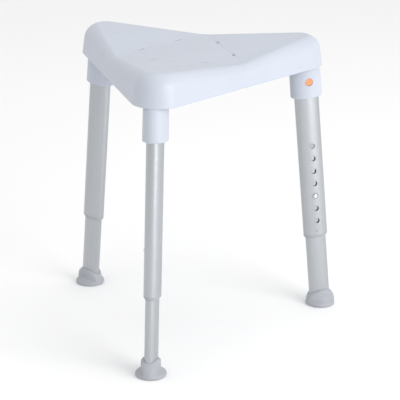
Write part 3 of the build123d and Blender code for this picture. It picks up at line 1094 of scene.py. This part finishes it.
def snap_spring_mesh(buttons):
    """The folded leaf that pushes the snap button out."""
    path = leaf_path(buttons)
    half, wide = buttons.leaf_thick / 2, buttons.leaf_width / 2
    rings = []
    for i, spot in enumerate(path):
        along = (path[min(i + 1, len(path) - 1)] - path[max(i - 1, 0)]).normalized()
        side = Vector((-along.y, along.x)) * half
        ring = []
        for x, flip in ((wide, 1), (wide, -1), (-wide, -1), (-wide, 1)):
            point = spot + side * flip
            ring.append(Vector((x, -point.x, buttons.snap_at + point.y)))
        rings.append(ring)
    return crisp(ring_mesh("snap_spring", rings), 35)


# Finishes


class Finish:
    """A material under construction: its node tree and the shader that ends it."""

    def __init__(self, name):
        self.material = bpy.data.materials.new(name)
        self.material.use_nodes = True
        self.tree = self.material.node_tree
        self.shader = next(n for n in self.tree.nodes if n.type == "BSDF_PRINCIPLED")

    def node(self, kind, inputs=(), **settings):
        """Add a node, set its properties, and fill or link its inputs."""
        made = self.tree.nodes.new(f"ShaderNode{kind}")
        for key, value in settings.items():
            setattr(made, key, value)
        for key, value in dict(inputs).items():
            self.feed(made, key, value)
        return made

    def feed(self, node, key, value):
        """Link an output into an input, or set the input's own value."""
        if isinstance(value, bpy.types.NodeSocket):
            self.tree.links.new(value, node.inputs[key])
        else:
            node.inputs[key].default_value = value

    def set(self, **values):
        """Set plain values on the shader's own sockets."""
        for key, value in values.items():
            socket = key.replace("_", " ").title().replace("Ior", "IOR")
            self.shader.inputs[socket].default_value = value

    def object_place(self, stretch=(1, 1, 1)):
        """Coordinates in the piece's own axes, shifted by a different amount for each piece."""
        place = self.node("TexCoord").outputs["Object"]
        chance = self.node("ObjectInfo").outputs["Random"]
        shift = self.node("VectorMath", {0: chance, 1: (7, 3, 5)}, operation="MULTIPLY")
        moved = self.node("VectorMath", {0: place, 1: shift.outputs[0]}, operation="ADD")
        return self.node("Mapping", {"Vector": moved.outputs[0], "Scale": stretch}).outputs[0]

    def noise(self, place, scale, detail=3.0, roughness=0.5):
        """A noise pattern, from 0 to 1."""
        inputs = {"Vector": place, "Scale": scale, "Detail": detail, "Roughness": roughness}
        return self.node("TexNoise", inputs).outputs["Fac"]

    def spread(self, value, low, high, out_low, out_high):
        """A value remapped from one range to another, and kept in it."""
        inputs = {"Value": value, "From Min": low, "From Max": high, "To Min": out_low, "To Max": out_high}
        return self.node("MapRange", inputs).outputs["Result"]

    def blend(self, share, a, b, mode="MIX"):
        """Two colours mixed by a share."""
        mix = self.node("Mix", data_type="RGBA", blend_type=mode)
        self.feed(mix, 0, share)
        self.feed(mix, 6, a)
        self.feed(mix, 7, b)
        return mix.outputs[2]

    def math(self, operation, a, b):
        """One sum of two values."""
        return self.node("Math", {0: a, 1: b}, operation=operation).outputs[0]

    def bump(self, height, strength, distance, under=None):
        """A bump from a height pattern, over another bump if there is one."""
        inputs = {"Height": height, "Strength": strength, "Distance": distance}
        if under is not None:
            inputs["Normal"] = under
        return self.node("Bump", inputs).outputs["Normal"]

    def worn_edges(self, low=0.53, high=0.62):
        """How far a spot is on a raised edge, from 0 to 1."""
        return self.spread(self.node("NewGeometry").outputs["Pointiness"], low, high, 0.0, 1.0)

    def end(self, **links):
        """Link patterns into the shader's sockets, and hand over the material."""
        for key, value in links.items():
            self.feed(self.shader, key.replace("_", " ").title(), value)
        return self.material


def shade(tint, factor):
    """A colour made lighter or darker, with an alpha of 1."""
    return (*(min(c * factor, 1) for c in tint), 1.0)


def moulded_plastic(name, tint, grain, gloss, wear):
    """Moulded plastic with a fine grain, faint mottling, and edges polished by use."""
    finish = Finish(name)
    place = finish.object_place()
    cloudy = finish.noise(place, 9.0, 4.0)
    fine = finish.noise(place, grain, 2.0, 0.6)
    rubbed = finish.noise(place, 70.0, 5.0, 0.65)
    base = finish.blend(finish.spread(cloudy, 0.3, 0.7, 0, 1), shade(tint, 0.975), shade(tint, 1.02))
    speck = finish.spread(rubbed, 0.62, 0.78, 0, 0.5)
    base = finish.blend(speck, base, shade(tint, 0.95))
    edge = finish.math("MULTIPLY", finish.worn_edges(), finish.spread(rubbed, 0.35, 0.6, 0.2, 1))
    base = finish.blend(finish.math("MULTIPLY", edge, wear), base, shade(tint, 1.12))
    rough = finish.spread(rubbed, 0.25, 0.75, gloss - 0.05, gloss + 0.07)
    rough = finish.math("SUBTRACT", rough, finish.math("MULTIPLY", edge, 0.08))
    rough = finish.math("ADD", rough, finish.spread(fine, 0.3, 0.7, -0.03, 0.03))
    normal = finish.bump(fine, 0.25, 0.00012)
    normal = finish.bump(cloudy, 0.15, 0.0006, normal)
    finish.set(ior=1.49)
    return finish.end(base_color=base, roughness=rough, normal=normal)


def drawn_aluminium(name, tint):
    """Satin anodised tube with fine lines drawn along it."""
    finish = Finish(name)
    lines = finish.object_place((1, 1, 0.012))
    place = finish.object_place()
    streak = finish.noise(lines, 1500.0, 3.0, 0.6)
    broad = finish.noise(lines, 240.0, 2.0)
    frost = finish.noise(place, 2600.0, 2.0)
    rubbed = finish.noise(place, 45.0, 5.0, 0.6)
    base = finish.blend(finish.spread(broad, 0.3, 0.7, 0, 1), shade(tint, 0.96), shade(tint, 1.03))
    base = finish.blend(finish.spread(streak, 0.45, 0.8, 0, 0.5), base, shade(tint, 0.88))
    edge = finish.worn_edges(0.55, 0.68)
    base = finish.blend(edge, base, shade(tint, 1.12))
    rough = finish.spread(streak, 0.25, 0.75, 0.30, 0.40)
    rough = finish.math("ADD", rough, finish.spread(rubbed, 0.35, 0.7, -0.02, 0.05))
    normal = finish.bump(streak, 0.22, 0.00004)
    normal = finish.bump(frost, 0.12, 0.00003, normal)
    finish.set(metallic=0.9)
    return finish.end(base_color=base, roughness=rough, normal=normal)


def foot_rubber(name, tint):
    """Matte elastomer with a dry bloom and scuffs low down."""
    finish = Finish(name)
    place = finish.object_place()
    cloudy = finish.noise(place, 40.0, 4.0)
    fine = finish.noise(place, 1400.0, 3.0, 0.6)
    scuff = finish.noise(finish.object_place((1, 1, 5)), 130.0, 5.0, 0.7)
    base = finish.blend(finish.spread(cloudy, 0.3, 0.7, 0, 1), shade(tint, 0.94), shade(tint, 1.04))
    base = finish.blend(finish.spread(scuff, 0.58, 0.72, 0, 0.5), base, shade(tint, 0.82))
    edge = finish.worn_edges(0.52, 0.62)
    base = finish.blend(finish.math("MULTIPLY", edge, 0.8), base, shade(tint, 1.15))
    rough = finish.spread(cloudy, 0.3, 0.7, 0.56, 0.70)
    normal = finish.bump(fine, 0.3, 0.00012)
    normal = finish.bump(cloudy, 0.3, 0.0004, normal)
    finish.set(ior=1.5)
    return finish.end(base_color=base, roughness=rough, normal=normal)


def bright_steel(name, tint):
    """Turned or rolled steel with fine marks."""
    finish = Finish(name)
    place = finish.object_place()
    marks = finish.noise(finish.object_place((1, 6, 1)), 900.0, 3.0, 0.6)
    dull = finish.noise(place, 300.0, 4.0)
    base = finish.blend(finish.spread(dull, 0.35, 0.7, 0, 1), shade(tint, 1.04), shade(tint, 0.9))
    rough = finish.spread(marks, 0.3, 0.7, 0.16, 0.27)
    normal = finish.bump(marks, 0.2, 0.00003)
    finish.set(metallic=1.0)
    return finish.end(base_color=base, roughness=rough, normal=normal)


# Operators


def finish_for(context, slot):
    """The finish for one of the record's slots, made the first time it is asked for."""
    tints = context.scene.stool_finishes
    looks = {
        "seat_plastic": (moulded_plastic, tints.seat, 1100.0, 0.40, 0.6),
        "tube_aluminium": (drawn_aluminium, tints.aluminium),
        "leg_plastic": (moulded_plastic, tints.leg_plastic, 1500.0, 0.48, 0.5),
        "foot_rubber": (foot_rubber, tints.rubber),
        "orange_plastic": (moulded_plastic, tints.orange, 1800.0, 0.33, 0.5),
        "spring_steel": (bright_steel, tints.steel),
    }
    make, *values = looks[slot]
    name = f"{slot}_finish"
    return bpy.data.materials.get(name) or make(name, *values)


def add_leg_pieces(context, name, mesh, body, slot, placer=leg_place):
    """One piece for each leg, from the same mesh."""
    finish = finish_for(context, slot)
    for side in SIDES:
        node = f"{name}_{side}"
        add_piece(f"{node}_piece", mesh, f"{body}_{side}", finish, placer(side), (node,))


class SHOWERSTOOL_OT_seat(bpy.types.Operator):
    """Make the moulded seat with its leg sockets, ribs and drain slots"""

    bl_idname = "shower_stool.seat"
    bl_label = "Seat"

    def execute(self, context):
        scene = context.scene
        mesh = seat_mesh(scene.stool_seat, scene.stool_sockets, scene.stool_buttons)
        finish = finish_for(context, "seat_plastic")
        add_piece("seat_moulding", mesh, "seat", finish, replaced=("seat",))
        return {"FINISHED"}


class SHOWERSTOOL_OT_tubes(bpy.types.Operator):
    """Make the outer tubes and the inner legs"""

    bl_idname = "shower_stool.tubes"
    bl_label = "Tubes"

    def execute(self, context):
        legs, buttons = context.scene.stool_legs, context.scene.stool_buttons
        add_leg_pieces(context, "leg_tube", outer_tube_mesh(legs, buttons), "leg", "tube_aluminium")
        add_leg_pieces(context, "inner_leg", inner_leg_mesh(legs, buttons), "inner", "tube_aluminium")
        return {"FINISHED"}


class SHOWERSTOOL_OT_bushes(bpy.types.Operator):
    """Make the bushes at the tubes' lower ends"""

    bl_idname = "shower_stool.bushes"
    bl_label = "End Bushes"

    def execute(self, context):
        add_leg_pieces(context, "end_bush", end_bush_mesh(context.scene.stool_legs), "leg", "leg_plastic")
        return {"FINISHED"}


class SHOWERSTOOL_OT_feet(bpy.types.Operator):
    """Make the feet"""

    bl_idname = "shower_stool.feet"
    bl_label = "Feet"

    def execute(self, context):
        finish = finish_for(context, "foot_rubber")
        for side in SIDES:
            mesh = foot_mesh(context.scene.stool_feet, splay())
            place = foot_place(side)
            mesh.transform(place.to_3x3().to_4x4())
            middle = Matrix.Translation(place.translation)
            name, body = f"foot_{side}", f"inner_{side}"
            add_piece(f"{name}_piece", mesh, body, finish, middle, (name,))
        return {"FINISHED"}


class SHOWERSTOOL_OT_buttons(bpy.types.Operator):
    """Make the release buttons and the snap buttons"""

    bl_idname = "shower_stool.buttons"
    bl_label = "Buttons"

    def execute(self, context):
        sizes = context.scene.stool_buttons
        release, snap = release_button_mesh(sizes), snap_button_mesh(sizes)
        add_leg_pieces(context, "release_button", release, "release", "orange_plastic")
        add_leg_pieces(context, "snap_button", snap, "snap", "spring_steel")
        return {"FINISHED"}


class SHOWERSTOOL_OT_hidden_parts(bpy.types.Operator):
    """Make the plugs, guide caps and springs inside the legs"""

    bl_idname = "shower_stool.hidden_parts"
    bl_label = "Parts Inside The Legs"

    def execute(self, context):
        legs, buttons = context.scene.stool_legs, context.scene.stool_buttons
        add_leg_pieces(context, "top_plug", top_plug_mesh(legs, buttons), "leg", "leg_plastic")
        add_leg_pieces(context, "guide_cap", guide_cap_mesh(legs), "inner", "leg_plastic")
        add_leg_pieces(context, "release_spring", release_spring_mesh(buttons), "leg", "spring_steel")
        add_leg_pieces(context, "snap_spring", snap_spring_mesh(buttons), "inner", "spring_steel")
        return {"FINISHED"}


class SHOWERSTOOL_OT_stage(bpy.types.Operator):
    """Set up the floor, the light and the camera"""

    bl_idname = "shower_stool.stage"
    bl_label = "Stage"

    def execute(self, context):
        scene, stage = context.scene, context.scene.stool_stage
        self.add_floor(stage)
        self.add_light("key_light", stage.key_place, stage.key_size, stage.key_power)
        self.add_light("top_light", stage.top_place, stage.top_size, stage.top_power)
        self.add_surround(scene, stage)
        camera = bpy.data.objects.new("camera", bpy.data.cameras.new("camera"))
        camera.data.lens, camera.data.sensor_width = stage.camera_lens, 36.0
        camera.data.clip_end = 100.0
        tilt, roll, heading = stage.camera_turn
        camera.matrix_world = (
            Matrix.Translation(stage.camera_place)
            @ Matrix.Rotation(heading, 4, "Z")
            @ Matrix.Rotation(tilt, 4, "X")
            @ Matrix.Rotation(roll, 4, "Z")
        )
        scene.collection.objects.link(camera)
        scene.camera = camera
        scene.view_settings.view_transform = "Standard"
        return {"FINISHED"}

    @staticmethod
    def add_floor(stage):
        half = stage.floor_size / 2
        corners = [(-half, -half, 0), (half, -half, 0), (half, half, 0), (-half, half, 0)]
        mesh = bpy.data.meshes.new("floor")
        mesh.from_pydata(corners, [], [(0, 1, 2, 3)])
        mesh.materials.append(floor_material(stage))
        floor = bpy.data.objects.new("floor", mesh)
        bpy.context.scene.collection.objects.link(floor)

    @staticmethod
    def add_light(name, place, size, power):
        light = bpy.data.lights.new(name, "AREA")
        light.shape, light.size, light.energy = "DISK", size, power
        lamp = bpy.data.objects.new(name, light)
        lamp.location = place
        aim = Vector((0, 0, 0.35))
        lamp.rotation_euler = (aim - Vector(place)).to_track_quat("-Z", "Y").to_euler()
        bpy.context.scene.collection.objects.link(lamp)

    @staticmethod
    def add_surround(scene, stage):
        world = bpy.data.worlds.new("surround")
        world.use_nodes = True
        background = world.node_tree.nodes["Background"]
        background.inputs["Color"].default_value = (1, 1, 1, 1)
        background.inputs["Strength"].default_value = stage.sky
        scene.world = world


def floor_material(stage):
    """Plain pale floor with a faint unevenness."""
    name = "floor_paint"
    if name in bpy.data.materials:
        return bpy.data.materials[name]
    finish = Finish(name)
    cloudy = finish.noise(finish.node("TexCoord").outputs["Object"], 1.5, 3.0)
    base = finish.blend(cloudy, shade(stage.floor_tint, 0.995), shade(stage.floor_tint, 1.005))
    rough = finish.spread(cloudy, 0.3, 0.7, 0.86, 0.92)
    return finish.end(base_color=base, roughness=rough)


class SHOWERSTOOL_PT_panel(bpy.types.Panel):
    """Buttons that make the stool piece by piece"""

    bl_idname = "SHOWERSTOOL_PT_panel"
    bl_label = "Shower Stool"
    bl_space_type = "VIEW_3D"
    bl_region_type = "UI"
    bl_category = "Shower Stool"

    def draw(self, context):
        for operator in OPERATORS:
            self.layout.operator(operator.bl_idname)
        for group in GROUPS:
            sizes = getattr(context.scene, group)
            box = self.layout.box()
            for key in sizes.bl_rna.properties.keys():
                if key not in ("rna_type", "name"):
                    box.prop(sizes, key)


GROUPS = {
    "stool_seat": StoolSeatSizes,
    "stool_sockets": StoolSocketSizes,
    "stool_legs": StoolLegSizes,
    "stool_buttons": StoolButtonSizes,
    "stool_feet": StoolFootSizes,
    "stool_finishes": StoolFinishes,
    "stool_stage": StoolStage,
}
OPERATORS = (
    SHOWERSTOOL_OT_seat,
    SHOWERSTOOL_OT_tubes,
    SHOWERSTOOL_OT_bushes,
    SHOWERSTOOL_OT_feet,
    SHOWERSTOOL_OT_buttons,
    SHOWERSTOOL_OT_hidden_parts,
    SHOWERSTOOL_OT_stage,
)


def register():
    """Register the classes and hang the sizes on the scene."""
    for group in GROUPS.values():
        bpy.utils.register_class(group)
    for name, group in GROUPS.items():
        setattr(bpy.types.Scene, name, PointerProperty(type=group))
    for cls in (*OPERATORS, SHOWERSTOOL_PT_panel):
        bpy.utils.register_class(cls)


def unregister():
    """Undo what register() did."""
    for cls in (SHOWERSTOOL_PT_panel, *reversed(OPERATORS)):
        bpy.utils.unregister_class(cls)
    for name, group in GROUPS.items():
        delattr(bpy.types.Scene, name)
        bpy.utils.unregister_class(group)


def main():
    """Make the whole stool and its stage."""
    register()
    bpy.ops.shower_stool.seat()
    bpy.ops.shower_stool.tubes()
    bpy.ops.shower_stool.bushes()
    bpy.ops.shower_stool.feet()
    bpy.ops.shower_stool.buttons()
    bpy.ops.shower_stool.hidden_parts()
    bpy.ops.shower_stool.stage()


if __name__ == "__main__":
    main()
